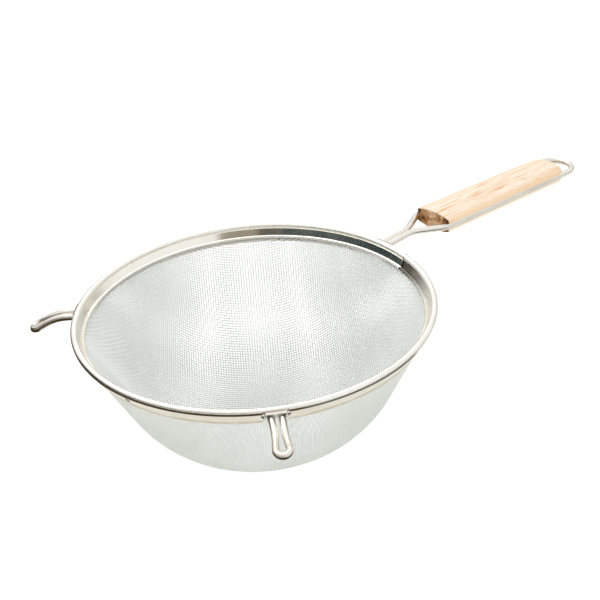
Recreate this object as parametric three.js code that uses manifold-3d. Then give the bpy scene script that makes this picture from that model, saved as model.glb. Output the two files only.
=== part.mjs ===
// A round wire-mesh strainer with two nested mesh bowls in one rolled rim band,
// two wire rest hooks, and a bent-wire handle with a wooden grip.
// Millimetres, +Z up. The origin is the underside centre of the bowl, the handle
// points along +X, and the rim lies in a horizontal plane.

import * as THREE from 'three';
import { mergeVertices } from 'three/addons/utils/BufferGeometryUtils.js';
import Module from 'manifold-3d';

const wasm = await Module();
wasm.setup();

// ---- driving dimensions ----

const CLEARANCE = 0.3;
const ROUND_SEGMENTS = 60;

const RIM_RADIUS = 130;
const BEAD_RADIUS = 2.6;
const SHEET = 0.5;
const CORE_WIRE_RADIUS = 1.7;
const SKIRT_LENGTH = 11.5;
const INNER_LEG_LENGTH = 9.4;
const HEM_RADIUS = 1.1;

const MESH_THICKNESS = 0.6;

const BASE_FLAT_RADIUS = 15;
const BASE_RADIUS = 156;
const SHOULDER_RADIUS = 91;
const SHOULDER_START = THREE.MathUtils.degToRad(16);
const WALL_ANGLE = THREE.MathUtils.degToRad(62);
const MESH_EDGE_DEPTH = 3.4;

const WIRE_RADIUS = 2.5;
const WIRE_SIDES = 10;
const PAIR_HALF_SPACING = WIRE_RADIUS + CLEARANCE / 2;
const PAIR_SPLIT = 1.5;
const PAIR_SPLIT_REACH = 6;
const GRIP_ENTRY_REACH = 4;
const GRIP_ENTRY_LEAD = 2.6;
const HANDLE_DROP_BELOW_RIM = 2.4;
const HANDLE_BEND_X = 158;
const HANDLE_DROOP = THREE.MathUtils.degToRad(4.8);

const GRIP_START = 26.8;
const GRIP_END = 162;
const GRIP_WIRE_HALF_SPACING = 15.1;
const LOOP_START = 168;
const LOOP_HALF_WIDTH = 13.6;
const LOOP_LENGTH = 14.5;

const GRIP_LIP = 1.6;
const GRIP_SIDE_HALF_HEIGHT = 4.9;
const GRIP_CROWN_HALF_HEIGHT = 7.5;

const SEAM_ANGLE = THREE.MathUtils.degToRad(-14);
const SEAM_GAP = 0.7;
const SEAM_SLANT = THREE.MathUtils.degToRad(-7);
const HOOK_SLIT = { out: 1.2, round: 0.9, down: 4.2 };
const HOOK_SLIT_DEPTH = 5.4;
const HOOK_SLIT_HALF_SPACING = 8.2;
const DRAIN_SLOT = { out: 1.2, round: 1.5, down: 3 };
const DRAIN_SLOT_DEPTH = 5.6;
const DRAIN_SLOT_ANGLE = THREE.MathUtils.degToRad(185);
const HOOD_WIDTH = 14;
const HOOD_REACH = 1.2;

const HOOK_ROOT_DROP = 4;
const HOOK_TIP_RADIUS = 4.6;
const HOOK_TIP_X = 159.2;
const HOOK_TIP_DROP_SHARE = 0.83;

const REST_HOOKS = [
  { name: 'rest_hook_left', angle: THREE.MathUtils.degToRad(127.5), drop: 12.4 },
  { name: 'rest_hook_right', angle: THREE.MathUtils.degToRad(-126), drop: 7.4 },
];

// ---- materials ----

function material(color, roughness, metalness) {
  return new THREE.MeshStandardMaterial({ color, roughness, metalness });
}

// ---- the bowl's outline ----

// Centre lines of the two arcs that shape the bowl, and the point where the
// shoulder arc runs into the straight wall.
const flatAngle = Math.asin(BASE_FLAT_RADIUS / BASE_RADIUS);
const baseCentre = new THREE.Vector2(0, BASE_RADIUS * Math.cos(flatAngle));
const shoulderCentre = new THREE.Vector2(
  (BASE_RADIUS - SHOULDER_RADIUS) * Math.sin(SHOULDER_START),
  baseCentre.y - (BASE_RADIUS - SHOULDER_RADIUS) * Math.cos(SHOULDER_START),
);
const wallUp = new THREE.Vector2(Math.cos(WALL_ANGLE), Math.sin(WALL_ANGLE));
const wallOut = new THREE.Vector2(Math.sin(WALL_ANGLE), -Math.cos(WALL_ANGLE));

// The wall's outer face lies this far outside the line through the bead's centre.
const WALL_OUTER_OFFSET = MESH_THICKNESS + CLEARANCE / 2;
const wallFoot = shoulderCentre.clone().addScaledVector(wallOut, SHOULDER_RADIUS);
const wallLength =
  (RIM_RADIUS - BEAD_RADIUS - wallFoot.x + WALL_OUTER_OFFSET * wallOut.x) / wallUp.x;
const beadCentre = wallFoot
  .clone()
  .addScaledVector(wallUp, wallLength)
  .addScaledVector(wallOut, -WALL_OUTER_OFFSET);
const RIM_HEIGHT = beadCentre.y;

// A point beside the bead's centre: down along the wall, and out square to it.
function wallPoint(down, out) {
  return beadCentre.clone().addScaledVector(wallUp, -down).addScaledVector(wallOut, out);
}

// The bowl's section from the axis to its top edge, set inside the outer face by inset.
function bowlOutline(inset) {
  const points = [new THREE.Vector2(0, inset)];
  const onArc = (centre, radius, angle) => new THREE.Vector2(
    centre.x + (radius - inset) * Math.sin(angle),
    centre.y - (radius - inset) * Math.cos(angle),
  );
  const first = onArc(baseCentre, BASE_RADIUS, flatAngle);
  points.push(new THREE.Vector2(first.x, inset));
  const shoulderSteps = 8;
  for (let i = 0; i <= shoulderSteps; i += 1) {
    const angle = THREE.MathUtils.lerp(SHOULDER_START, WALL_ANGLE, i / shoulderSteps);
    points.push(onArc(shoulderCentre, SHOULDER_RADIUS, angle));
  }
  points.push(wallPoint(MESH_EDGE_DEPTH, WALL_OUTER_OFFSET - inset));
  return points;
}

// Turns an outline in (radius, height) about the Z axis.
function revolve(points) {
  const geometry = new THREE.LatheGeometry(points, ROUND_SEGMENTS);
  geometry.rotateX(Math.PI / 2);
  return geometry;
}

function meshBowl(outerInset) {
  const outside = bowlOutline(outerInset);
  const inside = bowlOutline(outerInset + MESH_THICKNESS).reverse();
  return revolve([...outside, ...inside]);
}

// ---- booleans ----

function toSolid(geometry) {
  const bare = geometry.clone();
  bare.deleteAttribute('normal');
  bare.deleteAttribute('uv');
  const merged = mergeVertices(bare, 1e-5);
  return new wasm.Manifold(new wasm.Mesh({
    numProp: 3,
    vertProperties: new Float32Array(merged.attributes.position.array),
    triVerts: new Uint32Array(merged.index.array),
  }));
}

function toGeometry(solid) {
  const mesh = solid.getMesh();
  const geometry = new THREE.BufferGeometry();
  geometry.setAttribute('position', new THREE.BufferAttribute(mesh.vertProperties, 3));
  geometry.setIndex(new THREE.BufferAttribute(mesh.triVerts, 1));
  geometry.computeVertexNormals();
  return geometry;
}

function addAndCut(geometry, additions, cutters) {
  let solid = toSolid(geometry);
  for (const addition of additions) {
    solid = solid.add(toSolid(addition));
  }
  for (const cutter of cutters) {
    solid = solid.subtract(toSolid(cutter));
  }
  return toGeometry(solid);
}

// ---- rim band ----

// Points on an arc beside the wall. Angle 0 looks down the wall, and a quarter turn
// looks out of it.
function wallArc(down, out, radius, start, end, steps) {
  const points = [];
  for (let i = 0; i <= steps; i += 1) {
    const angle = THREE.MathUtils.lerp(start, end, i / steps);
    points.push(wallPoint(down + radius * Math.cos(angle), out + radius * Math.sin(angle)));
  }
  return points;
}

// One strip of sheet folded over the bead: an outer skirt, the rolled bead, and an
// inner leg that ends in a small rolled hem. The two meshes are held between the legs.
const LEG_INSIDE = WALL_OUTER_OFFSET + CLEARANCE;
const LEG_OUTSIDE = LEG_INSIDE + SHEET;

function bandOutline() {
  const turn = 2 * Math.PI;
  const hollow = BEAD_RADIUS - SHEET;
  const outsideLean = Math.asin(LEG_OUTSIDE / BEAD_RADIUS);
  const insideLean = Math.asin(LEG_INSIDE / hollow);
  const hemDown = INNER_LEG_LENGTH - HEM_RADIUS;
  const hemOut = LEG_INSIDE + HEM_RADIUS;
  const hemStart = turn / 2 - Math.asin((hemOut - LEG_OUTSIDE) / HEM_RADIUS);
  return [
    wallPoint(SKIRT_LENGTH, LEG_INSIDE),
    wallPoint(SKIRT_LENGTH, LEG_OUTSIDE),
    ...wallArc(0, 0, BEAD_RADIUS, outsideLean, turn - outsideLean, 9),
    ...wallArc(hemDown, -hemOut, HEM_RADIUS, hemStart, 1.25 * turn, 8),
    ...wallArc(0, 0, hollow, turn - insideLean, insideLean, 9),
    wallPoint(SKIRT_LENGTH, LEG_INSIDE),
  ];
}

// A box placed on the band at an angle round the rim, down from and out of the bead.
function bandCutter(size, angle, down, out, slant = 0) {
  const place = wallPoint(down, out);
  const box = new THREE.BoxGeometry(size.out, size.round, size.down);
  box.rotateX(slant);
  box.rotateY(Math.PI / 2 - WALL_ANGLE);
  box.translate(place.x, 0, place.y);
  box.rotateZ(angle);
  return box;
}

// A tab of the band's sheet that comes off the bead and covers the roots of the wires,
// its top at a height above the bead's centre.
function hood(angle, height) {
  const start = RIM_RADIUS - BEAD_RADIUS + Math.sqrt(BEAD_RADIUS ** 2 - height ** 2) - SHEET * 0.75;
  const end = RIM_RADIUS + HOOD_REACH;
  const tab = new THREE.BoxGeometry(end - start, HOOD_WIDTH, SHEET);
  tab.translate((start + end) / 2, 0, RIM_HEIGHT + height - SHEET / 2);
  tab.rotateZ(angle);
  return tab;
}

function rimBand() {
  const seamCut = { out: 14, round: SEAM_GAP, down: 34 };
  const cutters = [bandCutter(seamCut, SEAM_ANGLE, SKIRT_LENGTH / 2, 0, SEAM_SLANT)];
  const handleWireTop = WIRE_RADIUS - HANDLE_DROP_BELOW_RIM;
  const hoods = [hood(0, handleWireTop + CLEARANCE + SHEET)];
  const legMiddle = (LEG_INSIDE + LEG_OUTSIDE) / 2;
  const hookWireTop = WIRE_RADIUS - HOOK_ROOT_DROP;
  for (const hook of REST_HOOKS) {
    hoods.push(hood(hook.angle, hookWireTop + CLEARANCE + SHEET));
    for (const side of [-1, 1]) {
      const angle = hook.angle + side * HOOK_SLIT_HALF_SPACING / RIM_RADIUS;
      cutters.push(bandCutter(HOOK_SLIT, angle, HOOK_SLIT_DEPTH, legMiddle));
    }
  }
  cutters.push(bandCutter(DRAIN_SLOT, DRAIN_SLOT_ANGLE, DRAIN_SLOT_DEPTH, legMiddle));
  return addAndCut(revolve(bandOutline()), hoods, cutters);
}

function rimCoreWire() {
  const ring = [];
  const sides = 8;
  for (let i = 0; i <= sides; i += 1) {
    const angle = 2 * Math.PI * (i % sides) / sides;
    ring.push(new THREE.Vector2(
      beadCentre.x + CORE_WIRE_RADIUS * Math.cos(angle),
      beadCentre.y + CORE_WIRE_RADIUS * Math.sin(angle),
    ));
  }
  return revolve(ring);
}

// ---- bent wire ----

// A path that passes through its points one step at a time, so that straight runs
// take one step and bends take many.
class PointPath extends THREE.Curve {
  constructor(points) {
    super();
    this.points = points;
  }

  getPoint(t, target = new THREE.Vector3()) {
    const along = Math.min(Math.max(t, 0), 1) * (this.points.length - 1);
    const index = Math.min(Math.floor(along), this.points.length - 2);
    return target.lerpVectors(this.points[index], this.points[index + 1], along - index);
  }

  getPointAt(t, target) {
    return this.getPoint(t, target);
  }

  getTangentAt(t, target = new THREE.Vector3()) {
    const step = 0.5 / (this.points.length - 1);
    const before = this.getPoint(Math.max(t - step, 0));
    const after = this.getPoint(Math.min(t + step, 1));
    return target.subVectors(after, before).normalize();
  }

  getSpacedPoints() {
    return this.points;
  }
}

// Swaps each inner corner for a smooth bend that starts its reach before it.
function bendCorners(corners, reaches, steps) {
  const points = [corners[0]];
  for (let i = 1; i < corners.length - 1; i += 1) {
    const toStart = corners[i - 1].clone().sub(corners[i]).setLength(reaches[i - 1]);
    const toEnd = corners[i + 1].clone().sub(corners[i]).setLength(reaches[i - 1]);
    const bend = new THREE.QuadraticBezierCurve3(
      corners[i].clone().add(toStart), corners[i], corners[i].clone().add(toEnd),
    );
    points.push(...bend.getPoints(steps));
  }
  points.push(corners[corners.length - 1]);
  return points;
}

function wireAlong(points) {
  const section = new THREE.Shape();
  for (let i = 0; i < WIRE_SIDES; i += 1) {
    const angle = 2 * Math.PI * i / WIRE_SIDES;
    const [x, y] = [WIRE_RADIUS * Math.cos(angle), WIRE_RADIUS * Math.sin(angle)];
    if (i === 0) {
      section.moveTo(x, y);
    } else {
      section.lineTo(x, y);
    }
  }
  section.closePath();
  return new THREE.ExtrudeGeometry(section, {
    steps: points.length - 1, extrudePath: new PointPath(points), bevelEnabled: false,
  });
}

// ---- handle ----

const WIRE_END_X = RIM_RADIUS + CLEARANCE + 0.1;

// Handle points are laid out in its own drooping plane, from the bend outwards.
function handlePoint(along, across) {
  return new THREE.Vector3(
    HANDLE_BEND_X + along * Math.cos(HANDLE_DROOP),
    across,
    RIM_HEIGHT - HANDLE_DROP_BELOW_RIM - along * Math.sin(HANDLE_DROOP),
  );
}

function handleSide(side) {
  const rootHeight = RIM_HEIGHT - HANDLE_DROP_BELOW_RIM;
  const corners = [
    new THREE.Vector3(WIRE_END_X, side * PAIR_HALF_SPACING, rootHeight),
    handlePoint(PAIR_SPLIT, side * PAIR_HALF_SPACING),
    handlePoint(GRIP_START - GRIP_ENTRY_LEAD, side * GRIP_WIRE_HALF_SPACING),
    handlePoint(LOOP_START, side * LOOP_HALF_WIDTH),
  ];
  return bendCorners(corners, [PAIR_SPLIT_REACH, GRIP_ENTRY_REACH], 6);
}

function handleWire() {
  const there = handleSide(-1);
  const back = handleSide(1).reverse();
  const loop = [];
  const loopSteps = 12;
  for (let i = 1; i < loopSteps; i += 1) {
    const angle = Math.PI * (i / loopSteps - 0.5);
    loop.push(handlePoint(
      LOOP_START + LOOP_LENGTH * Math.cos(angle), LOOP_HALF_WIDTH * Math.sin(angle),
    ));
  }
  return wireAlong([...there, ...loop, ...back]);
}

// Half of the grip's section: crowned top and bottom, and a round groove in the side
// that takes the wire.
function gripSection() {
  const half = GRIP_WIRE_HALF_SPACING + GRIP_LIP;
  const groove = WIRE_RADIUS + CLEARANCE;
  const grooveEdge = Math.acos(GRIP_LIP / groove);
  const right = [];
  const crownSteps = 5;
  for (let i = 0; i <= crownSteps; i += 1) {
    const across = half * (i / crownSteps);
    const rise = (GRIP_CROWN_HALF_HEIGHT - GRIP_SIDE_HALF_HEIGHT) * (1 - (i / crownSteps) ** 2);
    right.push(new THREE.Vector2(across, GRIP_SIDE_HALF_HEIGHT + rise));
  }
  const grooveSteps = 8;
  for (let i = 0; i <= grooveSteps; i += 1) {
    const angle = THREE.MathUtils.lerp(grooveEdge, 2 * Math.PI - grooveEdge, i / grooveSteps);
    right.push(new THREE.Vector2(
      GRIP_WIRE_HALF_SPACING + groove * Math.cos(angle), groove * Math.sin(angle),
    ));
  }
  for (let i = crownSteps; i >= 1; i -= 1) {
    right.push(new THREE.Vector2(right[i].x, -right[i].y));
  }
  const bottom = new THREE.Vector2(0, -GRIP_CROWN_HALF_HEIGHT);
  const left = right.slice(1).reverse().map((point) => new THREE.Vector2(-point.x, point.y));
  return new THREE.Shape([...right, bottom, ...left]);
}

function handleGrip() {
  const length = GRIP_END - GRIP_START;
  const geometry = new THREE.ExtrudeGeometry(gripSection(), {
    depth: length, steps: 1, bevelEnabled: false,
  });
  // Extruded along Z with the section in XY: turn it to run along X with the crown up.
  geometry.rotateX(Math.PI / 2);
  geometry.rotateZ(Math.PI / 2);
  const position = geometry.attributes.position;
  const wireRun = LOOP_START - GRIP_START + GRIP_ENTRY_LEAD;
  const narrowing = (GRIP_WIRE_HALF_SPACING - LOOP_HALF_WIDTH) / wireRun;
  const fullShiftFrom = GRIP_WIRE_HALF_SPACING - WIRE_RADIUS - CLEARANCE;
  for (let i = 0; i < position.count; i += 1) {
    const across = position.getY(i);
    const along = Math.abs(position.getX(i)) + GRIP_ENTRY_LEAD;
    const share = Math.min(1, Math.abs(across) / fullShiftFrom);
    position.setY(i, across - Math.sign(across) * narrowing * along * share);
  }
  geometry.computeVertexNormals();
  return geometry;
}

// ---- rest hooks ----

// A narrow U of wire that leaves the rim nearly level, then bends down at its tip.
function restHook(drop) {
  const hookPoint = (x, across, dropShare) => new THREE.Vector3(
    x, across, RIM_HEIGHT - HOOK_ROOT_DROP - dropShare * drop,
  );
  const leg = (side) => [
    hookPoint(WIRE_END_X, side * 3.8, 0),
    hookPoint(140, side * 3.4, 0.12),
    hookPoint(148, side * 3.5, 0.32),
    hookPoint(155, side * 4.1, 0.62),
    hookPoint(HOOK_TIP_X, side * HOOK_TIP_RADIUS, HOOK_TIP_DROP_SHARE),
  ];
  const tip = [];
  const tipSteps = 8;
  for (let i = 1; i < tipSteps; i += 1) {
    const angle = Math.PI * (i / tipSteps - 0.5);
    tip.push(hookPoint(
      HOOK_TIP_X + HOOK_TIP_RADIUS * Math.cos(angle),
      HOOK_TIP_RADIUS * Math.sin(angle),
      HOOK_TIP_DROP_SHARE + (1 - HOOK_TIP_DROP_SHARE) * Math.cos(angle),
    ));
  }
  return wireAlong([...leg(-1), ...tip, ...leg(1).reverse()]);
}

// ---- assembly ----

const strainer = new THREE.Group();

function addPart(name, geometry, look, parent = strainer) {
  const mesh = new THREE.Mesh(geometry, look);
  mesh.name = name;
  parent.add(mesh);
  return mesh;
}

addPart('rim_band', rimBand(), material(0xd9d6cc, 0.3, 0.9));
addPart('rim_core_wire', rimCoreWire(), material(0xb9b6ac, 0.4, 0.9));
addPart('outer_mesh_bowl', meshBowl(0), material(0xc9cbc6, 0.45, 0.8));
addPart('inner_mesh_bowl', meshBowl(MESH_THICKNESS + CLEARANCE), material(0xd4d5d0, 0.45, 0.8));
addPart('handle_wire', handleWire(), material(0xdedcd4, 0.25, 0.9));

const grip = addPart('handle_grip', handleGrip(), material(0xf0d9b8, 0.6, 0));
grip.position.copy(handlePoint(GRIP_START, 0));
grip.rotation.y = HANDLE_DROOP;

for (const hook of REST_HOOKS) {
  const mesh = addPart(hook.name, restHook(hook.drop), material(0xdedcd4, 0.25, 0.9));
  mesh.rotation.z = hook.angle;
}

export default strainer;
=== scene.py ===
import math

import bpy
import numpy as np
from mathutils import Matrix, Vector


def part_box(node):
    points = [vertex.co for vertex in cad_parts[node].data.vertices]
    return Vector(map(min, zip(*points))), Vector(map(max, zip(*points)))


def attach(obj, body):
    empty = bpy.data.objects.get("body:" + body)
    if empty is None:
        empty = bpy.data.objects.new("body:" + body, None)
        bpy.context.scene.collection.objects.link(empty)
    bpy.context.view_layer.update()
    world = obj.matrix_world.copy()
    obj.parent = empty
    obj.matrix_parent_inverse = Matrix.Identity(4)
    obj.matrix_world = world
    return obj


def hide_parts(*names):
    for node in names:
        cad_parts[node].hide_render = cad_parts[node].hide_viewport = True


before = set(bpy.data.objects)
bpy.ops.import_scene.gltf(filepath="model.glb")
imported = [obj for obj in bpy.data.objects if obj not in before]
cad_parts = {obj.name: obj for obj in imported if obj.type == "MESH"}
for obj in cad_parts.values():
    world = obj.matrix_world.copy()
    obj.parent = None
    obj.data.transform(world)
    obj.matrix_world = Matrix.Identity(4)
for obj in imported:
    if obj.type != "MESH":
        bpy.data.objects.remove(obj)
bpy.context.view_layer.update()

# A round strainer: two woven wire bowls held in one rolled sheet-metal rim, two bent
# wire rest hooks, and a bent wire handle with a wooden grip. Shapes are worked out in
# millimetres and turned into metres when their mesh is made. The rim's and the handle's
# places come from the frame, and the other dimensions repeat those of the CAD source.

MM = 0.001


def box_mm(node):
    low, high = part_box(node)
    return low / MM, high / MM


# ---- rim and bowl dimensions ----

BEAD_RADIUS = 2.6
CORE_WIRE_RADIUS = 1.7
SHEET = 0.5
LEG_INSIDE = 1.05
LEG_OUTSIDE = LEG_INSIDE + SHEET
CREASE_RADIUS = 0.8
LEG_CREASE_RADIUS = 0.25
SKIRT_LENGTH = 11.5
INNER_LEG_LENGTH = 9.4
HEM_RADIUS = 1.1
WALL_ANGLE = math.radians(62)
WALL_OUTER_OFFSET = 0.75

BASE_RADIUS = 156
BASE_FLAT_RADIUS = 15
SHOULDER_RADIUS = 91
SHOULDER_START = math.radians(16)

core_low, core_high = box_mm("rim_core_wire")
RIM_HEIGHT = (core_low.z + core_high.z) / 2
BEAD_CENTRE_RADIUS = core_high.x - CORE_WIRE_RADIUS
RIM_RADIUS = BEAD_CENTRE_RADIUS + BEAD_RADIUS

WALL_UP = np.array((math.cos(WALL_ANGLE), math.sin(WALL_ANGLE)))
WALL_OUT = np.array((math.sin(WALL_ANGLE), -math.cos(WALL_ANGLE)))
BEAD_CENTRE = np.array((BEAD_CENTRE_RADIUS, RIM_HEIGHT))


def wall_points(down, out):
    """(radius, height) of points beside the bead: down along the wall and out square to it."""
    down, out = np.asarray(down, float), np.asarray(out, float)
    return BEAD_CENTRE - down[..., None] * WALL_UP + out[..., None] * WALL_OUT


# ---- meshes ----


def new_piece(name, vertices, faces, smooth_below=40):
    """A mesh object from vertices in millimetres, smooth across edges flatter than the angle."""
    mesh = bpy.data.meshes.new(name)
    mesh.from_pydata((np.asarray(vertices, float) * MM).tolist(), [], faces)
    mesh.shade_smooth()
    mesh.set_sharp_from_angle(angle=math.radians(smooth_below))
    piece = bpy.data.objects.new(name, mesh)
    bpy.context.scene.collection.objects.link(piece)
    return piece


def finish_piece(piece, materials):
    """Gives a piece its materials and its body."""
    for material in materials:
        piece.data.materials.append(material)
    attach(piece, "root")


def ring_faces(rings, sides):
    """Quads between rings of the same number of vertices, as an array."""
    ring, side = np.meshgrid(np.arange(rings - 1), np.arange(sides), indexing="ij")
    after = (side + 1) % sides
    corners = (ring * sides + side, ring * sides + after,
               (ring + 1) * sides + after, (ring + 1) * sides + side)
    return np.stack(corners, -1).reshape(-1, 4)


def closed_tube(rings, sides):
    """Faces of a tube of rings, with a face over each end."""
    last = (rings - 1) * sides
    faces = ring_faces(rings, sides).tolist()
    faces.append(list(range(sides))[::-1])
    faces.append(list(range(last, last + sides)))
    return faces


def unit(vectors):
    return vectors / np.linalg.norm(vectors, axis=-1, keepdims=True)


def turned(points, angle):
    """Points turned about the Z axis."""
    c, s = math.cos(angle), math.sin(angle)
    x, y, z = np.moveaxis(np.asarray(points, float), -1, 0)
    return np.stack((c * x - s * y, s * x + c * y, z), -1)


# ---- woven bowls ----

MESH_PITCH = 1.95
MESH_WIRE = 0.46
OUTER_MESH_INSET = 0.42
INNER_MESH_INSET = 1.34
NET_ANGLE = math.radians(49)
INNER_NET_TURN = math.radians(1.2)
MESH_EDGE_DEPTH = 5.0
WIRE_SIDES = 4
NEWTON_STEPS = 5
PROFILE_SAMPLES = 4000


def bowl_height(radius, inset):
    """Height and slope of the bowl at a radius, set inside its outer face by inset."""
    base, shoulder = BASE_RADIUS - inset, SHOULDER_RADIUS - inset
    base_centre = math.sqrt(BASE_RADIUS**2 - BASE_FLAT_RADIUS**2)
    apart = BASE_RADIUS - SHOULDER_RADIUS
    shoulder_x = apart * math.sin(SHOULDER_START)
    shoulder_z = base_centre - apart * math.cos(SHOULDER_START)

    on_base = np.minimum(radius, base * math.sin(SHOULDER_START))
    rise = base_centre - np.sqrt(base**2 - on_base**2) - inset
    softness = 0.25
    eased = np.sqrt(rise**2 + softness**2)
    base_height = inset + (rise + eased) / 2
    base_slope = on_base / np.sqrt(base**2 - on_base**2) * (1 + rise / eased) / 2

    wall_x = shoulder_x + shoulder * math.sin(WALL_ANGLE)
    on_shoulder = np.clip(radius, base * math.sin(SHOULDER_START), wall_x) - shoulder_x
    reach = np.sqrt(shoulder**2 - on_shoulder**2)
    shoulder_height = shoulder_z - reach
    shoulder_slope = on_shoulder / reach

    on_wall = radius > wall_x
    on_base_arc = radius < base * math.sin(SHOULDER_START)
    wall_slope = math.tan(WALL_ANGLE)
    height = np.where(on_base_arc, base_height, shoulder_height)
    height = height + np.where(on_wall, (radius - wall_x) * wall_slope, 0)
    slope = np.where(on_base_arc, base_slope, np.where(on_wall, wall_slope, shoulder_slope))
    return height, slope


def quarter_net(pitch, inset, edge):
    """Plan places of the crossings in one quarter of a square cloth pressed over the bowl.

    The wires don't stretch, so every crossing is one pitch from the two before it, and
    the cells shear into diamonds towards the rim.
    """
    radii = np.linspace(0, edge, PROFILE_SAMPLES)
    heights = bowl_height(radii, inset)[0]
    lengths = np.concatenate(([0], np.cumsum(np.hypot(np.diff(radii), np.diff(heights)))))
    axis = np.interp(np.arange(0, lengths[-1], pitch), lengths, radii)
    count = len(axis)
    net = np.full((count, count, 2), np.nan)
    net[:, 0] = np.stack((axis, 0 * axis), -1)
    net[0, :] = np.stack((0 * axis, axis), -1)
    for diagonal in range(2, 2 * count - 1):
        i = np.arange(max(1, diagonal - count + 1), min(diagonal, count))
        j = diagonal - i
        net[i, j] = next_crossings(net[i - 1, j], net[i, j - 1], net[i - 1, j - 1], pitch, inset)
        beyond = np.hypot(net[i, j, 0], net[i, j, 1]) > edge
        net[i[beyond], j[beyond]] = np.nan
    return net


def next_crossings(first, second, corner, pitch, inset):
    """The places one pitch from two crossings, found by Newton's method."""
    place = first + second - corner
    for _ in range(NEWTON_STEPS):
        radius = np.maximum(np.hypot(place[:, 0], place[:, 1]), 1e-9)
        height, slope = bowl_height(radius, inset)
        gradient = slope[:, None] * place / radius[:, None]
        rows, misses = [], []
        for known in (first, second):
            step = place - known
            rise = height - bowl_height(np.hypot(known[:, 0], known[:, 1]), inset)[0]
            misses.append((step**2).sum(-1) + rise**2 - pitch**2)
            rows.append(2 * (step + rise[:, None] * gradient))
        (a, b), (c, d) = rows[0].T, rows[1].T
        size = a * d - b * c
        place = place - np.stack((d * misses[0] - b * misses[1],
                                  a * misses[1] - c * misses[0]), -1) / size[:, None]
    return place


def cloth(pitch, wire, inset, angle):
    """Crossings of a whole cloth with its surface normals, and the wire's sway at each."""
    edge = wall_points(MESH_EDGE_DEPTH, WALL_OUTER_OFFSET - inset)[0]
    quarter = quarter_net(pitch, inset, edge)
    count = len(quarter)
    index = np.arange(1 - count, count)
    place = quarter[np.abs(index)[:, None], np.abs(index)[None, :]]
    x = place[..., 0] * np.sign(index)[:, None]
    y = place[..., 1] * np.sign(index)[None, :]
    radius = np.maximum(np.hypot(x, y), 1e-9)
    height, slope = bowl_height(radius, inset)
    points = turned(np.stack((x, y, height), -1), angle)
    normals = unit(np.stack((-slope * x / radius, -slope * y / radius, 1 + 0 * slope), -1))
    normals = turned(normals, angle)
    sway = wire / 2 * (-1.0) ** (index[:, None] + index[None, :])
    return points, normals, sway


def wires(name, points, normals, radius):
    """Four-sided wires, shaded smooth, along the rows of a grid, leaving out empty cells."""
    angles = 2 * math.pi * (np.arange(WIRE_SIDES) + 0.5) / WIRE_SIDES
    vertices, faces, count = [], [], 0
    for line, up in zip(points, normals):
        held = np.isfinite(line[:, 0])
        line, up = line[held], up[held]
        if len(line) < 3:
            continue
        along = unit(np.gradient(line, axis=0))
        side = unit(np.cross(along, up))
        up = np.cross(side, along)
        spoke = (np.cos(angles)[None, :, None] * up[:, None]
                 + np.sin(angles)[None, :, None] * side[:, None])
        vertices.append((line[:, None] + radius * spoke).reshape(-1, 3))
        faces.append(ring_faces(len(line), WIRE_SIDES) + count)
        first = count + np.arange(WIRE_SIDES)
        last = first + (len(line) - 1) * WIRE_SIDES
        faces.append(np.stack((first[::-1], last)))
        count += len(line) * WIRE_SIDES
    return woven_piece(name, np.concatenate(vertices), np.concatenate(faces))


def woven_piece(name, vertices, quads):
    """A mesh object made straight from arrays, because a cloth has many thousands of quads."""
    mesh = bpy.data.meshes.new(name)
    mesh.vertices.add(len(vertices))
    mesh.vertices.foreach_set("co", (vertices * MM).ravel())
    mesh.loops.add(quads.size)
    mesh.loops.foreach_set("vertex_index", quads.ravel())
    mesh.polygons.add(len(quads))
    mesh.polygons.foreach_set("loop_start", np.arange(0, quads.size, 4))
    mesh.update()
    mesh.shade_smooth()
    piece = bpy.data.objects.new(name, mesh)
    bpy.context.scene.collection.objects.link(piece)
    return piece


def woven_bowl(node, inset, angle, material):
    """Both sets of wires of one cloth, in pieces of a fair size, in place of its CAD bowl."""
    points, normals, sway = cloth(MESH_PITCH, MESH_WIRE, inset, angle)
    for way, sign in (("warp", 1), ("weft", -1)):
        line = points + (sign * sway)[..., None] * normals
        up = normals
        if way == "weft":
            line, up = line.swapaxes(0, 1), up.swapaxes(0, 1)
        for number, rows in enumerate(np.array_split(np.arange(len(line)), 2), 1):
            piece = wires(f"{node}_{way}_{number}", line[rows], up[rows], MESH_WIRE / 2)
            finish_piece(piece, [material])
            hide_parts(node)


# ---- rim band ----

HOOK_ANGLES = (math.radians(127.5), math.radians(-126))
HANDLE_AZIMUTH = 0.0
SEAM_ANGLE = math.radians(-14)
SEAM_GAP = 0.25
SEAM_SLANT = math.tan(math.radians(-7))
DRAIN_SLOT_ANGLE = math.radians(185)
SLIT_PLACE = 8.2
SLIT_SIZE = (5.4, 0.9, 5.5)
SLIT_DOWN = 8.0
SLIT_OUT = 3.65
# How far down the wall the painted shade in each slit sits.
SLIT_SHADE_DOWN = 4.2
SLOT_SIZE = (1.4, 1.5, 3.0)
SLOT_DOWN = 5.6
SLOT_OUT = 1.65
WELD_ANGLES = (math.radians(-7.0), math.radians(-8.6))
WELD_PLACE = 4.6
WELD_RADIUS = 1.2
WELD_DEPTH = 0.12
WELD_FACE_END = 7
SEAM_FADE = 6
INNER_FACE_TOP = 2.0
OUTER_FACE_TOP = 2.5
HOOK_HOOD_START = 158
HOOK_HOOD_FLAT = 7.0
HOOK_HOOD_EDGE = 9.8
HANDLE_HOOD_START = 193
HANDLE_HOOD_FLAT = 5.6
HANDLE_HOOD_EDGE = 8.6


def arc(centre, radius, start, end, count):
    """Points on an arc, its angles in degrees: 0 looks down the wall and 90 out of it."""
    angle = np.radians(np.linspace(start, end, count))
    return np.stack((centre[0] + radius * np.cos(angle), centre[1] + radius * np.sin(angle)), -1)


def line(start, end, count):
    """Points on a straight line, its last point left out."""
    return np.linspace(start, end, count, endpoint=False)


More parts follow.
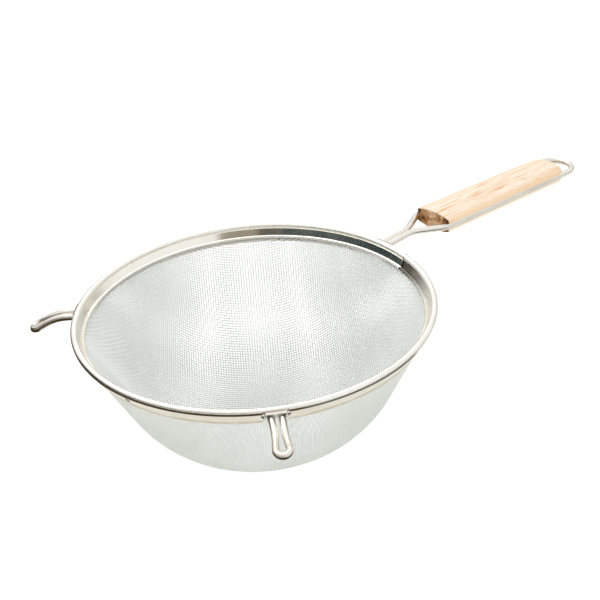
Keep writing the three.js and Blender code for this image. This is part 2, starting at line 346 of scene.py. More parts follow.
def band_section():
    """The band's closed section in wall coordinates, from the skirt's foot over the bead."""
    skirt_crease, outer_lean = crease(CREASE_RADIUS)
    leg_crease, inner_lean = crease(LEG_CREASE_RADIUS)
    hollow = BEAD_RADIUS - SHEET
    hollow_lean = math.degrees(math.asin(LEG_INSIDE / hollow))
    hem_out = LEG_INSIDE + HEM_RADIUS
    hem_start = 180 - math.degrees(math.asin((hem_out - LEG_OUTSIDE) / HEM_RADIUS))
    hem = arc((INNER_LEG_LENGTH - HEM_RADIUS, -hem_out), HEM_RADIUS, hem_start, 450, 22)
    foot = (SKIRT_LENGTH, (LEG_INSIDE + LEG_OUTSIDE) / 2)
    return np.concatenate((
        line((SKIRT_LENGTH, LEG_OUTSIDE), (skirt_crease[0], LEG_OUTSIDE), 9),
        arc(skirt_crease, CREASE_RADIUS, -90, outer_lean - 180, 6),
        arc((0, 0), BEAD_RADIUS, outer_lean, 360 - inner_lean, 34)[1:-1],
        arc(leg_crease * (1, -1), LEG_CREASE_RADIUS, 180 - inner_lean, 90, 5),
        line((leg_crease[0], -LEG_OUTSIDE), hem[0], 12)[1:],
        hem,
        line(hem[-1], (INNER_FACE_TOP, -LEG_INSIDE), 5)[1:],
        arc((0, 0), hollow, 360 - hollow_lean, hollow_lean, 20),
        line((OUTER_FACE_TOP, LEG_INSIDE), (SKIRT_LENGTH, LEG_INSIDE), 8),
        arc(foot, SHEET / 2, -90, 90, 4)[:-1],
    ))


def crease(radius):
    """Where the round of a crease under the bead is centred, and the angle it meets it at."""
    out = LEG_OUTSIDE + radius
    down = math.sqrt((BEAD_RADIUS + radius) ** 2 - out**2)
    return np.array((down, out)), math.degrees(math.atan2(out, down))


def smooth_step(value):
    value = np.clip(value, 0, 1)
    return value * value * (3 - 2 * value)


def along_bend(bend, t):
    """Points and outward normals on a three-point curve of (radius, height)."""
    a, b, c = (np.array(p, float) for p in bend)
    t = np.asarray(t, float)[:, None]
    point = (1 - t) ** 2 * a + 2 * t * (1 - t) * b + t**2 * c
    heading = unit(2 * (1 - t) * (b - a) + 2 * t * (c - b))
    return point, np.stack((-heading[:, 1], heading[:, 0]), -1)


def hooded(section, bend, start):
    """The section with its outer sheet lifted off the wall into a hood that covers the wires.

    The hood leaves the bead at the start angle and follows the bend to its lip.
    """
    down, out = section.T
    radius = np.hypot(down, out)
    angle = np.degrees(np.arctan2(out, down)) % 360
    outer_side = (out > 0) & (angle < start)
    on_face = (radius > BEAD_RADIUS - SHEET / 2) & ((out > LEG_OUTSIDE - SHEET / 2) | (radius < 3))
    on_face &= ~((out < LEG_OUTSIDE - 0.01) & (radius > BEAD_RADIUS + 0.01))
    travel = np.radians(start - angle) * BEAD_RADIUS
    straight = radius > 3.2
    travel = np.where(straight, math.radians(start) * BEAD_RADIUS - 2 + (down - 2), travel)
    share = np.clip(travel / travel[outer_side].max(), 0, 1)
    point, normal = along_bend(bend, share)
    depth = np.where(on_face, 0, SHEET)
    normal_place = wall_points(down, out)
    lifted = point - depth[:, None] * normal
    return np.where(outer_side[:, None], lifted, normal_place)


def band_azimuths():
    """Azimuths of the band's sections, close together at its hoods, running from one side of the
    seam's gap to the other.
    """
    places = [np.radians(np.arange(0, 360, 0.75))]
    for centre, reach in ((HANDLE_AZIMUTH, 7), (HOOK_ANGLES[0], 5), (HOOK_ANGLES[1], 5)):
        places.append(centre + np.radians(np.arange(-reach, reach, 0.15)))
    start = SEAM_ANGLE + SEAM_GAP / 2 / RIM_RADIUS
    inside = np.sort((np.concatenate(places) - start) % (2 * math.pi))
    end = 2 * math.pi - SEAM_GAP / RIM_RADIUS
    inside = inside[(inside > 0.002) & (inside < end - 0.002)]
    kept = inside[np.concatenate(([True], np.diff(inside) > 0.0008))]
    return start + np.concatenate(([0], kept, [end]))


def weld_dents(section, azimuth):
    """How far the spot welds by the handle press the inner leg's face towards the wall."""
    down, out = section.T
    face = (out < 0.01 - LEG_OUTSIDE) & (down > BEAD_RADIUS) & (down < WELD_FACE_END)
    across = (np.array(WELD_ANGLES) - azimuth) * RIM_RADIUS
    apart = (down[:, None] - WELD_PLACE) ** 2 + across**2
    return face * WELD_DEPTH * np.exp(-apart / WELD_RADIUS**2).sum(-1)


def rim_band(material):
    """The rolled strip, its two ends meeting at the slanted seam."""
    section = band_section()
    plain = wall_points(*section.T)
    z = RIM_HEIGHT
    hook_bend = ((BEAD_CENTRE_RADIUS + 2.0, z + 1.67), (RIM_RADIUS + 0.2, z + 0.3),
                 (RIM_RADIUS + 1.2, z - 0.45))
    handle_bend = ((BEAD_CENTRE_RADIUS + 0.67, z + 2.51), (RIM_RADIUS + 0.6, z + 1.6),
                   (RIM_RADIUS + 2.0, z + 0.7))
    hook_hood = hooded(section, hook_bend, HOOK_HOOD_START)
    handle_hood = hooded(section, handle_bend, HANDLE_HOOD_START)
    hoods = [(HANDLE_AZIMUTH, handle_hood, HANDLE_HOOD_FLAT, HANDLE_HOOD_EDGE)]
    hoods += [(angle, hook_hood, HOOK_HOOD_FLAT, HOOK_HOOD_EDGE) for angle in HOOK_ANGLES]

    azimuths = band_azimuths()
    from_seam = (azimuths - SEAM_ANGLE + math.pi) % (2 * math.pi) - math.pi
    seam_share = np.exp(-np.abs(from_seam) * RIM_RADIUS / SEAM_FADE)
    rings = []
    for azimuth, share in zip(azimuths, seam_share):
        place = plain + weld_dents(section, azimuth)[:, None] * WALL_OUT
        for centre, hood, flat, edge in hoods:
            apart = abs((azimuth - centre + math.pi) % (2 * math.pi) - math.pi) * RIM_RADIUS
            place = place + smooth_step((edge - apart) / (edge - flat)) * (hood - plain)
        turn = azimuth + share * SEAM_SLANT * (section[:, 0] - SKIRT_LENGTH / 2) / RIM_RADIUS
        rings.append(np.stack((place[:, 0] * np.cos(turn), place[:, 0] * np.sin(turn),
                               place[:, 1]), -1))
    faces = closed_tube(len(rings), len(section))
    piece = new_piece("rim_band", np.concatenate(rings), faces)
    cut(piece, band_cutters())
    finish_piece(piece, [material])
    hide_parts("rim_band")


def band_box(azimuth, size, down, out):
    """A box on the band, its size given out of, round and down the wall."""
    corners = np.array([(i, j, k) for i in (-1, 1) for j in (-1, 1) for k in (-1, 1)]) / 2
    place = wall_points(down + corners[:, 2] * size[2], out + corners[:, 0] * size[0])
    vertices = turned(np.stack((place[:, 0], corners[:, 1] * size[1], place[:, 1]), -1), azimuth)
    faces = [(0, 1, 3, 2), (4, 6, 7, 5), (0, 4, 5, 1), (2, 3, 7, 6), (0, 2, 6, 4), (1, 5, 7, 3)]
    return new_piece("cutter", vertices, faces)


def band_cutters():
    """Boxes that cut the slits beside each hood, and the slot opposite the handle."""
    cutters = []
    for angle in HOOK_ANGLES:
        for side in (-1, 1):
            azimuth = angle + side * SLIT_PLACE / RIM_RADIUS
            cutters.append(band_box(azimuth, SLIT_SIZE, SLIT_DOWN, SLIT_OUT))
    cutters.append(band_box(DRAIN_SLOT_ANGLE, SLOT_SIZE, SLOT_DOWN, SLOT_OUT))
    return cutters


def cut(piece, cutters):
    """Cuts the cutters out of a piece for good, and removes them."""
    for cutter in cutters:
        change = piece.modifiers.new("cut", "BOOLEAN")
        change.object = cutter
        change.solver = "EXACT"
    graph = bpy.context.evaluated_depsgraph_get()
    mesh = bpy.data.meshes.new_from_object(piece.evaluated_get(graph))
    piece.modifiers.clear()
    piece.data = mesh
    mesh.shade_smooth()
    mesh.set_sharp_from_angle(angle=math.radians(40))
    for cutter in cutters:
        bpy.data.objects.remove(cutter)


# ---- bent wire ----


def sweep(path, radius, sides):
    """Vertices and faces of a round wire with flat ends along a path."""
    path = np.asarray(path, float)
    along = unit(np.gradient(path, axis=0))
    up = np.array((0.0, 0.0, 1.0))
    side = unit(np.cross(along, up))
    up = np.cross(side, along)
    angles = 2 * math.pi * np.arange(sides) / sides
    spoke = (np.cos(angles)[None, :, None] * up[:, None]
             + np.sin(angles)[None, :, None] * side[:, None])
    rings = path[:, None] + radius * spoke
    return rings.reshape(-1, 3), closed_tube(len(path), sides)


def through(points, steps):
    """A smooth path through the points."""
    p = np.asarray(points, float)
    p = np.concatenate((2 * p[:1] - p[1:2], p, 2 * p[-1:] - p[-2:-1]))
    path = []
    for a, b, c, d in zip(p, p[1:], p[2:], p[3:]):
        for t in np.arange(steps) / steps:
            path.append(b + t * (c - a) / 2 + t * t * (a - 2.5 * b + 2 * c - d / 2)
                        + t**3 * (-a + 3 * b - 3 * c + d) / 2)
    path.append(p[-2])
    return path


def bend_corners(corners, reaches, steps):
    """Swaps each inner corner for a round bend that starts its reach before it."""
    corners = [np.array(c, float) for c in corners]
    path = [corners[0]]
    for before, corner, after, reach in zip(corners, corners[1:], corners[2:], reaches):
        start = corner + unit(before - corner) * reach
        end = corner + unit(after - corner) * reach
        for t in np.linspace(0, 1, steps):
            path.append((1 - t) ** 2 * start + 2 * t * (1 - t) * corner + t * t * end)
    path.append(corners[-1])
    return path


# ---- rest hooks ----

HOOK_WIRE_RADIUS = 2.5
HOOKS = (("rest_hook_left", HOOK_ANGLES[0], 12.4), ("rest_hook_right", HOOK_ANGLES[1], 7.4))
HOOK_TIP_X = 159.2
HOOK_TIP_RADIUS = 4.6
HOOK_TIP_DROP_SHARE = 0.83
HOOK_ROOT_DROP = 4.0
WIRE_START_RADIUS = BEAD_CENTRE_RADIUS + 0.2


def rest_hook(name, azimuth, drop, material):
    """A narrow U of wire that leaves the rim nearly level and bends down at its tip."""
    start = RIM_HEIGHT - HOOK_ROOT_DROP
    leg = [(WIRE_START_RADIUS, 3.8, start), (140, 3.4, start - 0.12 * drop),
           (148, 3.5, start - 0.32 * drop), (155, 4.1, start - 0.62 * drop),
           (HOOK_TIP_X, HOOK_TIP_RADIUS, start - HOOK_TIP_DROP_SHARE * drop)]
    turn = np.radians(np.linspace(-90, 90, 7))[1:-1]
    beyond = 1 - HOOK_TIP_DROP_SHARE
    tip = [(HOOK_TIP_X + HOOK_TIP_RADIUS * math.cos(a), HOOK_TIP_RADIUS * math.sin(a),
            start - drop * (HOOK_TIP_DROP_SHARE + beyond * math.cos(a))) for a in turn]
    points = [(x, -y, z) for x, y, z in leg] + tip + leg[::-1]
    vertices, faces = sweep(through(points, 8), HOOK_WIRE_RADIUS, 24)
    piece = new_piece(name, turned(vertices, azimuth), faces)
    finish_piece(piece, [material])
    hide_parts(name)


# ---- handle ----

WIRE_RADIUS = 2.5
PAIR_HALF_SPACING = 2.6
PAIR_SPLIT = 1.5
GRIP_ENTRY_LEAD = 2.6
HANDLE_DROP = 2.4
HANDLE_DROOP = math.radians(4.8)
GRIP_START = 26.8
GRIP_END = 162
GRIP_WIRE_HALF_SPACING = 15.1
LOOP_START = 168
LOOP_HALF_WIDTH = 13.6
LOOP_LENGTH = 14.5
GRIP_LIP = 1.6
GRIP_SIDE_HALF_HEIGHT = 4.9
GRIP_CROWN_HALF_HEIGHT = 7.5

wire_high = box_mm("handle_wire")[1]
HANDLE_BEND_X = wire_high.x - (LOOP_START + LOOP_LENGTH) * math.cos(HANDLE_DROOP) - WIRE_RADIUS


def handle_points(along, across, above=0.0):
    """Places in the handle's drooping plane: along it from the bend, across it and above it."""
    c, s = math.cos(HANDLE_DROOP), math.sin(HANDLE_DROOP)
    x = HANDLE_BEND_X + along * c + above * s
    z = RIM_HEIGHT - HANDLE_DROP - along * s + above * c
    return np.stack(np.broadcast_arrays(x, across, z), -1)


def handle_wire(material):
    """One wire: side by side from the rim, spread to the grip's sides, and round its end."""
    root = (RIM_RADIUS, PAIR_HALF_SPACING, RIM_HEIGHT - HANDLE_DROP)
    corners = [np.array(root), handle_points(PAIR_SPLIT, PAIR_HALF_SPACING),
               handle_points(GRIP_START - GRIP_ENTRY_LEAD, GRIP_WIRE_HALF_SPACING),
               handle_points(LOOP_START, LOOP_HALF_WIDTH)]
    side = bend_corners(corners, (6.0, 4.0), 12)
    mirrored = [p * (1, -1, 1) for p in side]
    loop = [handle_points(LOOP_START + LOOP_LENGTH * math.cos(a), LOOP_HALF_WIDTH * math.sin(a))
            for a in np.radians(np.linspace(-90, 90, 33))[1:-1]]
    vertices, faces = sweep(mirrored + loop + side[::-1], WIRE_RADIUS, 28)
    piece = new_piece("handle_wire", vertices, faces)
    finish_piece(piece, [material])
    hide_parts("handle_wire")


def grip_section():
    """The grip's section as (across, above): crowned faces and a groove down each side."""
    half = GRIP_WIRE_HALF_SPACING + GRIP_LIP
    groove = WIRE_RADIUS + 0.15
    open_angle = math.acos(GRIP_LIP / groove)
    share = np.linspace(-1, 1, 41)[1:-1]
    rise = GRIP_CROWN_HALF_HEIGHT - GRIP_SIDE_HALF_HEIGHT
    crown = np.stack((share * half, GRIP_SIDE_HALF_HEIGHT + rise * (1 - share**2)), -1)
    angle = np.linspace(open_angle, 2 * math.pi - open_angle, 21)
    right = np.stack((GRIP_WIRE_HALF_SPACING + groove * np.cos(angle), groove * np.sin(angle)), -1)
    shoulder = np.array(((half - 0.05, GRIP_SIDE_HALF_HEIGHT - 0.5),
                         (half, (GRIP_SIDE_HALF_HEIGHT + groove) / 2)))
    side = np.concatenate((shoulder, right, shoulder[::-1] * (1, -1)))
    return np.concatenate((crown, side, crown[::-1] * (1, -1), side[::-1] * (-1, 1)))


def handle_grip(materials):
    """The wooden grip, its far corners rounded off and its cut edges eased."""
    section = grip_section()
    length = GRIP_END - GRIP_START
    eased = 0.6
    ends = eased * (1 - np.cos(np.linspace(0, math.pi / 2, 5)))
    corner = 4.5
    far = length - corner + corner * np.sin(np.linspace(0, math.pi / 2, 12))
    stations = np.concatenate((ends[:-1], np.linspace(eased, length - corner, 40), far[1:]))
    narrowing = (GRIP_WIRE_HALF_SPACING - LOOP_HALF_WIDTH) / (LOOP_START - GRIP_START)
    inner = GRIP_WIRE_HALF_SPACING - WIRE_RADIUS - 0.8
    rings = []
    for at in stations:
        across, above = section.T
        past = max(0.0, at - (length - corner)) / corner
        kept = 0.15 + 0.85 * math.sqrt(max(0.0, 1 - past * past))
        beyond = np.maximum(np.abs(across) - inner, 0)
        width = np.minimum(np.abs(across), inner) + kept * beyond
        width = width - narrowing * at * np.minimum(1, np.abs(across) / inner)
        ease = 1 - 0.035 * max(0.0, 1 - min(at, length - at) / eased) ** 2
        rings.append(handle_points(GRIP_START + at, np.sign(across) * width * ease, above * ease))
    faces = closed_tube(len(rings), len(section))
    piece = new_piece("handle_grip", np.concatenate(rings), faces)
    finish_piece(piece, materials)
    for face in piece.data.polygons[-2:]:
        face.material_index = 1
    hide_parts("handle_grip")


# ---- materials ----


def node_material(name):
    """A new material, with its node tree and its Principled shader."""
    material = bpy.data.materials.new(name)
    material.use_nodes = True
    tree = material.node_tree
    shader = tree.nodes["Principled BSDF"]
    return material, tree, shader


def link(tree, source, target):
    tree.links.new(source, target)


def object_place(tree, scale=(1, 1, 1)):
    """Object coordinates in metres, stretched by a scale."""
    place = tree.nodes.new("ShaderNodeTexCoord")
    mapping = tree.nodes.new("ShaderNodeMapping")
    mapping.inputs["Scale"].default_value = scale
    link(tree, place.outputs["Object"], mapping.inputs["Vector"])
    return mapping.outputs["Vector"]


def noise(tree, vector, scale, detail=3.0, distortion=0.0):
    node = tree.nodes.new("ShaderNodeTexNoise")
    node.inputs["Scale"].default_value = scale
    node.inputs["Detail"].default_value = detail
    node.inputs["Distortion"].default_value = distortion
    link(tree, vector, node.inputs["Vector"])
    return node.outputs["Fac"]


def ramp(tree, value, stops):
    """A colour ramp with (position, colour) stops."""
    node = tree.nodes.new("ShaderNodeValToRGB")
    elements = node.color_ramp.elements
    while len(elements) < len(stops):
        elements.new(0.5)
    for element, (position, colour) in zip(elements, stops):
        element.position = position
        element.color = (*colour, 1)
    link(tree, value, node.inputs["Fac"])
    return node.outputs["Color"]


def rescale(tree, value, low, high, from_low=0.0, from_high=1.0):
    node = tree.nodes.new("ShaderNodeMapRange")
    node.inputs["From Min"].default_value = from_low
    node.inputs["From Max"].default_value = from_high
    node.inputs["To Min"].default_value = low
    node.inputs["To Max"].default_value = high
    link(tree, value, node.inputs["Value"])
    return node.outputs["Result"]


def maths(tree, operation, *values):
    node = tree.nodes.new("ShaderNodeMath")
    node.operation = operation
    for socket, value in zip(node.inputs, values):
        if isinstance(value, bpy.types.NodeSocket):
            link(tree, value, socket)
        else:
            socket.default_value = value
    return node.outputs[0]


def separate(tree, vector):
    node = tree.nodes.new("ShaderNodeSeparateXYZ")
    link(tree, vector, node.inputs[0])
    return node.outputs


def mix(tree, factor, first, second, blend="MIX"):
    node = tree.nodes.new("ShaderNodeMix")
    node.data_type = "RGBA"
    node.blend_type = blend
    for socket, value in ((node.inputs[0], factor), (node.inputs[6], first),
                          (node.inputs[7], second)):
        if isinstance(value, bpy.types.NodeSocket):
            link(tree, value, socket)
        elif isinstance(value, float):
            socket.default_value = value
        else:
            socket.default_value = (*value, 1)
    return node.outputs[2]


def bump(tree, height, strength, distance):
    node = tree.nodes.new("ShaderNodeBump")
    node.inputs["Strength"].default_value = strength
    node.inputs["Distance"].default_value = distance
    link(tree, height, node.inputs["Height"])
    return node.outputs["Normal"]


def tinned_steel(name, bright, dull, roughness, metallic=1.0):
    """Tinned steel: faint cloudy tarnish, uneven gloss and fine drawn marks."""
    material, tree, shader = node_material(name)
    shader.inputs["Metallic"].default_value = metallic
    place = object_place(tree)
    cloud = noise(tree, place, 35, 4)
    tone = ramp(tree, cloud, ((0.3, dull), (0.62, bright)))
    link(tree, tone, shader.inputs["Base Color"])
    patch = noise(tree, place, 90, 3)
    link(tree, rescale(tree, patch, roughness * 0.75, roughness * 1.3), shader.inputs["Roughness"])
    marks = noise(tree, place, 900, 2)
    link(tree, bump(tree, marks, 0.12, 0.0001), shader.inputs["Normal"])
    return material, tree, shader, tone


def band_steel():
    """The band's steel: tan along the skirt's foot and heat-tinted on one side of the seam.

    Painted shade darkens the seam's gap, the slot, and the slits beside the hooks.
    """
    material, tree, shader, tone = tinned_steel(
        "band_steel", (0.94, 0.92, 0.86), (0.87, 0.83, 0.75), 0.16)
    place = object_place(tree)
    x, y, z = separate(tree, place)
    patch = noise(tree, place, 60, 3)
    on_bead = rescale(tree, z, 0.0, 1.0, RIM_HEIGHT * MM, (RIM_HEIGHT + 0.5) * MM)
    gloss = rescale(tree, patch, 0.10, 0.18)
    link(tree, maths(tree, "ADD", gloss, maths(tree, "MULTIPLY", on_bead, 0.12)),
         shader.inputs["Roughness"])

    foot = RIM_HEIGHT - SKIRT_LENGTH * WALL_UP[1] - LEG_OUTSIDE * math.cos(WALL_ANGLE)
    uneven = maths(tree, "MULTIPLY", maths(tree, "SUBTRACT", patch, 0.5), 0.006)
    height = maths(tree, "ADD", z, uneven)
    tan = rescale(tree, height, 0.8, 0.0, foot * MM, (foot + 3.2) * MM)
    tone = mix(tree, tan, tone, (0.62, 0.50, 0.36))

    azimuth = maths(tree, "ARCTAN2", y, x)
    from_seam = maths(tree, "MULTIPLY", maths(tree, "SUBTRACT", azimuth, SEAM_ANGLE),
                      RIM_RADIUS * MM)
    below = maths(tree, "SUBTRACT", foot_middle() * MM, z)
    shift = maths(tree, "MULTIPLY", below, SEAM_SLANT / math.sin(WALL_ANGLE))
    from_gap = maths(tree, "SUBTRACT", from_seam, shift)
    # A dark brown patch on one side of the seam, fading away from the seam and off the bead.
    seam_side_darkening = maths(tree, "MULTIPLY", rescale(tree, from_gap, 0.0, 1.0, -0.055, -0.012),
                 rescale(tree, from_gap, 1.0, 0.0, -0.001, 0.0005))
    seam_side_darkening = maths(tree, "MULTIPLY", seam_side_darkening, rescale(tree, on_bead, 0.9, 0.0))
    tone = mix(tree, seam_side_darkening, tone, (0.075, 0.055, 0.038))
    # Painted shade in the colour: a dark line along the seam's gap and dark spots in the slot and
    # the slits.
    painted_shade = rescale(tree, maths(tree, "ABSOLUTE", from_gap), 1.0, 0.0, 0.0007, 0.0010)
    painted_shade = maths(tree, "MULTIPLY", painted_shade, rescale(tree, on_bead, 1.0, 0.3))
    slot = wall_points(SLOT_DOWN, SLOT_OUT)
    painted_shade = maths(tree, "MAXIMUM", painted_shade, spot(tree, place, slot, DRAIN_SLOT_ANGLE, 0.0028))
    slit = wall_points(SLIT_SHADE_DOWN, SLOT_OUT)
    for angle in HOOK_ANGLES:
        for side in (-1, 1):
            corner = angle + side * SLIT_PLACE / RIM_RADIUS
            painted_shade = maths(tree, "MAXIMUM", painted_shade, spot(tree, place, slit, corner, 0.0024))
    tone = mix(tree, painted_shade, tone, (0.03, 0.02, 0.01))
    link(tree, tone, shader.inputs["Base Color"])
    return material


SPOT_CORE = 0.55


def spot(tree, place, section_point, azimuth, reach):
    """One at a point of the band's section, at an azimuth, falling to nothing at its reach."""
    point = turned(np.array([section_point[0], 0.0, section_point[1]]), azimuth) * MM
    gap = tree.nodes.new("ShaderNodeVectorMath")
    gap.operation = "DISTANCE"
    link(tree, place, gap.inputs[0])
    gap.inputs[1].default_value = [float(value) for value in point]
    return rescale(tree, gap.outputs["Value"], 1.0, 0.0, reach * SPOT_CORE, reach)


def foot_middle():
    """The height of the middle of the seam on the inner leg."""
    return RIM_HEIGHT - SKIRT_LENGTH / 2 * WALL_UP[1] + LEG_OUTSIDE * math.cos(WALL_ANGLE)


def woven_steel(name, bottom_shade_tone, bright):
    """Tinned mesh wire, darker towards the bottom of the bowl: painted shade."""
    material, tree, shader, tone = tinned_steel(name, bright, bright, 0.38, 0.2)
    place = object_place(tree)
    patch = noise(tree, place, 25, 3)
    height = separate(tree, place)[2]
    level = maths(tree, "ADD", height, maths(tree, "MULTIPLY", patch, 0.02))
    # Painted shade: the wires darken towards the bowl's bottom.
    bottom_shade = rescale(tree, level, 1.0, 0.0, 0.012, 0.100)
    link(tree, mix(tree, bottom_shade, tone, bottom_shade_tone), shader.inputs["Base Color"])
    return material


def pale_wood(name):
    """Pale softwood with long fine grain and short orange flecks, most of them on one side.

    The upper edges of its grooves have darkened, and the lower edges are painted paler: painted
    light under the wires.
    """
    material, tree, shader = node_material(name)
    shader.inputs["Roughness"].default_value = 0.62
    along = object_place(tree, (0.05, 1, 1))
    fine = noise(tree, along, 900, 5, 0.3)
    broad = noise(tree, object_place(tree, (0.03, 1, 0.5)), 160, 3, 0.6)
    fleck = noise(tree, object_place(tree, (0.10, 1, 0.6)), 420, 2, 0.2)
    base = ramp(tree, broad, ((0.35, (0.79, 0.61, 0.45)), (0.55, (0.84, 0.74, 0.62))))
    lines = ramp(tree, fine, ((0.35, (0.88, 0.74, 0.60)), (0.6, (1.0, 1.0, 1.0))))
    grained = mix(tree, 0.6, base, lines, "MULTIPLY")
    x, across, z = separate(tree, object_place(tree))
    leaning = maths(tree, "ADD", fleck, maths(tree, "MULTIPLY", across, 3.0))
    mask = rescale(tree, leaning, 0.0, 0.85, 0.56, 0.68)
    tone = mix(tree, mask, grained, (0.72, 0.40, 0.19))

    drooping = maths(tree, "MULTIPLY", x, math.tan(HANDLE_DROOP))
    plane = RIM_HEIGHT - HANDLE_DROP + HANDLE_BEND_X * math.tan(HANDLE_DROOP)
    above = maths(tree, "SUBTRACT", maths(tree, "ADD", z, drooping), plane * MM)
    side = rescale(tree, maths(tree, "ABSOLUTE", across), 0.0, 1.0, 0.0140, 0.0146)
    upper = maths(tree, "MULTIPLY", side, rescale(tree, above, 0.0, 0.7, 0.0010, 0.0016))
    # Painted light: the lower lips of the grooves, in shade under the wires, are painted paler.
    lower_lip_light = maths(tree, "MULTIPLY", side, rescale(tree, above, 1.0, 0.0, -0.0016, -0.0010))
    tone = mix(tree, lower_lip_light, tone, (0.88, 0.78, 0.64))
    tone = mix(tree, upper, tone, (0.86, 0.62, 0.38))
    link(tree, tone, shader.inputs["Base Color"])
    link(tree, bump(tree, fine, 0.25, 0.0002), shader.inputs["Normal"])
    return material


def end_grain(name):
    """The sawn end: dark brown towards its sides, paler in the middle, with dark pores."""
    material, tree, shader = node_material(name)
    shader.inputs["Roughness"].default_value = 0.8
    place = object_place(tree)
    broad = noise(tree, place, 150, 4, 0.8)
    across = maths(tree, "ABSOLUTE", separate(tree, place)[1])
    edge = rescale(tree, across, 0.16, -0.16, 0.004, GRIP_WIRE_HALF_SPACING * MM)
    tone = ramp(tree, maths(tree, "ADD", broad, edge),
                ((0.34, (0.07, 0.022, 0.003)), (0.48, (0.30, 0.115, 0.022)),
                 (0.60, (0.50, 0.27, 0.11)), (0.72, (0.72, 0.52, 0.36))))
    pores = noise(tree, place, 1400, 2)
    dots = ramp(tree, pores, ((0.3, (0.55, 0.4, 0.3)), (0.5, (1, 1, 1))))
    link(tree, mix(tree, 0.7, tone, dots, "MULTIPLY"), shader.inputs["Base Color"])
    link(tree, bump(tree, pores, 0.4, 0.0002), shader.inputs["Normal"])
    return material


# ---- studio ----


def plain_floor():
    """A white light table: it glows a little, so that shadows on it stay faint."""
    material, tree, shader = node_material("floor_paper")
    shader.inputs["Roughness"].default_value = 0.9
    shader.inputs["Specular IOR Level"].default_value = 0.1
    shader.inputs["Emission Color"].default_value = (1, 1, 1, 1)
    shader.inputs["Emission Strength"].default_value = 0.55
    paper = noise(tree, object_place(tree), 3, 2)
    tone = ramp(tree, paper, ((0.3, (0.60, 0.60, 0.60)), (0.7, (0.62, 0.62, 0.62))))
    link(tree, tone, shader.inputs["Base Color"])
    size = 8.0
    corners = [(-size, -size, 0), (size, -size, 0), (size, size, 0), (-size, size, 0)]
    mesh = bpy.data.meshes.new("floor")
    mesh.from_pydata(corners, [], [(0, 1, 2, 3)])
    mesh.materials.append(material)
    floor = bpy.data.objects.new("floor", mesh)
    bpy.context.scene.collection.objects.link(floor)


CARD_STEPS = 61


def card(name, start, end, profile, tones, rise=0.0):
    """A studio card turned round the object, which only glossy reflections see.

    Its profile is in (radius, height), and it rises by so much from its start to its end.
    Its tones are stops from its foot to its top.
    """
    material = bpy.data.materials.new(name)
    material.use_nodes = True
    tree = material.node_tree
    tree.nodes.clear()
    glow = tree.nodes.new("ShaderNodeEmission")
    out = tree.nodes.new("ShaderNodeOutputMaterial")
    height = tree.nodes.new("ShaderNodeSeparateXYZ")
    link(tree, object_place(tree), height.inputs[0])
    share = rescale(tree, height.outputs["Z"], 0.0, 1.0, profile[0][1], profile[-1][1])
    link(tree, ramp(tree, share, tones), glow.inputs["Color"])
    link(tree, glow.outputs[0], out.inputs[0])
    azimuths = np.radians(np.linspace(start, end, CARD_STEPS))
    lifts = np.linspace(0, rise, CARD_STEPS)
    vertices = [(r * math.cos(a), r * math.sin(a), z + lift)
                for a, lift in zip(azimuths, lifts) for r, z in profile]
    rows = len(profile)
    faces = [(i * rows + j, i * rows + j + 1, (i + 1) * rows + j + 1, (i + 1) * rows + j)
             for i in range(len(azimuths) - 1) for j in range(rows - 1)]
    mesh = bpy.data.meshes.new(name)
    mesh.from_pydata(vertices, [], faces)
    mesh.materials.append(material)
    shape = bpy.data.objects.new(name, mesh)
    bpy.context.scene.collection.objects.link(shape)
    for kind in ("camera", "diffuse", "transmission", "volume_scatter", "shadow"):
        setattr(shape, f"visible_{kind}", False)


def area_light(name, place, target, size, power):
    light = bpy.data.lights.new(name, "AREA")
    light.size = size
    light.energy = power
    lamp = bpy.data.objects.new(name, light)
    lamp.location = place
    lamp.rotation_euler = (Vector(target) - Vector(place)).to_track_quat("-Z", "Y").to_euler()
    bpy.context.scene.collection.objects.link(lamp)


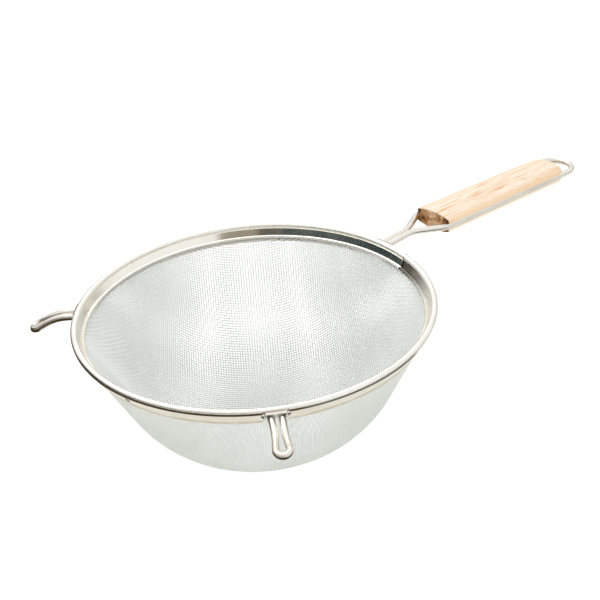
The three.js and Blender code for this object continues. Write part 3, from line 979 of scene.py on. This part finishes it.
def studio():
    scene = bpy.context.scene
    world = bpy.data.worlds.new("studio")
    world.use_nodes = True
    tree = world.node_tree
    background = tree.nodes["Background"]
    place = tree.nodes.new("ShaderNodeTexCoord")
    height = tree.nodes.new("ShaderNodeSeparateXYZ")
    link(tree, place.outputs["Generated"], height.inputs[0])
    sky = ramp(tree, height.outputs["Z"], ((0.0, (0.92, 0.92, 0.91)), (0.5, (0.96, 0.96, 0.95))))
    link(tree, sky, background.inputs["Color"])
    background.inputs["Strength"].default_value = 1.0
    scene.world = world
    scene.view_settings.view_transform = "Standard"
    plain_floor()
    # The dark cards give the steel the dark reflections that it has in the photo's view.
    brown = (0.055, 0.034, 0.014)
    teal = (0.018, 0.038, 0.040)
    olive = (0.09, 0.085, 0.065)
    fawn = (0.30, 0.265, 0.20)
    card("horizon_card", 0, 360, ((1.35, 0.0), (1.4, 0.30)),
         ((0.0, (0.20, 0.19, 0.17)), (1.0, (0.80, 0.79, 0.77))))
    dim = (0.10, 0.07, 0.04)
    low = ((0.15, 0.003), (0.5, 0.01), (0.85, 0.10))
    card("dark_floor", 112, 250, low, ((0.0, brown), (1.0, brown)))
    card("dim_floor_back", 45, 112, low, ((0.0, dim), (1.0, dim)))
    # A grey sheet under the bowl that only glossy reflections see: painted shade of the floor in
    # the bowl's shadow.
    card("near_floor", 0, 360, ((0.02, 0.001), (0.15, 0.002)),
         ((0.0, (0.78, 0.77, 0.71)), (1.0, (0.82, 0.80, 0.73))))
    card("far_floor", 0, 360, ((0.15, 0.001), (1.35, 0.002)),
         ((0.0, (0.86, 0.85, 0.81)), (1.0, (0.90, 0.89, 0.86))))
    slate = (0.10, 0.115, 0.11)
    card("dark_floor_right", 250, 320, ((0.15, 0.003), (0.5, 0.01)), ((0.0, slate), (1.0, slate)))
    card("dark_flag", 110, 204, ((0.9, 0.03), (0.9, 0.34)), ((0.0, teal), (1.0, teal)), 0.37)
    card("flag_middle", 204, 222, ((0.9, 0.40), (0.9, 0.71)), ((0.0, olive), (1.0, olive)), 0.06)
    card("flag_end", 222, 250, ((0.9, 0.44), (0.9, 0.77)), ((0.0, fawn), (1.0, fawn)), 0.06)
    area_light("key", (0.5, 0.9, 1.6), (0, 0, 0.05), 1.2, 12)


# ---- camera ----

CAMERA_AZIMUTH = math.radians(-41.1)
CAMERA_ELEVATION = 0.5332
CAMERA_ROLL = -0.0845
CAMERA_LENS = 120
RIM_CENTRE_IN_VIEW = (-0.03258, -0.00867, 1.41271)


def camera():
    """The camera, placed by where the rim's centre lies in its view: right, up and ahead."""
    az, el = CAMERA_AZIMUTH, CAMERA_ELEVATION
    ahead = -Vector((math.sin(az) * math.cos(el), -math.cos(az) * math.cos(el), math.sin(el)))
    level = ahead.cross(Vector((0, 0, 1))).normalized()
    above = level.cross(ahead)
    right = math.cos(CAMERA_ROLL) * level + math.sin(CAMERA_ROLL) * above
    up = math.cos(CAMERA_ROLL) * above - math.sin(CAMERA_ROLL) * level
    across, high, far = RIM_CENTRE_IN_VIEW
    place = Vector((0, 0, RIM_HEIGHT * MM)) - (across * right + high * up + far * ahead)
    data = bpy.data.cameras.new("camera")
    data.lens = CAMERA_LENS
    data.sensor_width = 36
    view = bpy.data.objects.new("camera", data)
    turn = Matrix((right, up, -ahead)).transposed().to_4x4()
    view.matrix_world = Matrix.Translation(place) @ turn
    bpy.context.scene.collection.objects.link(view)
    bpy.context.scene.camera = view


# ---- assembly ----

camera()
studio()

wire_steel = tinned_steel("bent_wire_steel", (0.86, 0.83, 0.77), (0.76, 0.71, 0.63), 0.22)[0]
# Each mesh steel's first tone is its painted shade at the bowl's bottom.
outer_mesh_steel = woven_steel("outer_mesh_steel", (0.76, 0.78, 0.74), (0.93, 0.95, 0.91))
inner_mesh_steel = woven_steel("inner_mesh_steel", (0.80, 0.81, 0.80), (0.95, 0.96, 0.95))

woven_bowl("outer_mesh_bowl", OUTER_MESH_INSET, NET_ANGLE, outer_mesh_steel)
woven_bowl("inner_mesh_bowl", INNER_MESH_INSET, NET_ANGLE + INNER_NET_TURN, inner_mesh_steel)
rim_band(band_steel())
for hook in HOOKS:
    rest_hook(*hook, wire_steel)
handle_wire(wire_steel)
handle_grip([pale_wood("grip_wood"), end_grain("grip_end_grain")])

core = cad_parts["rim_core_wire"]
core.data.materials.clear()
core.data.materials.append(wire_steel)
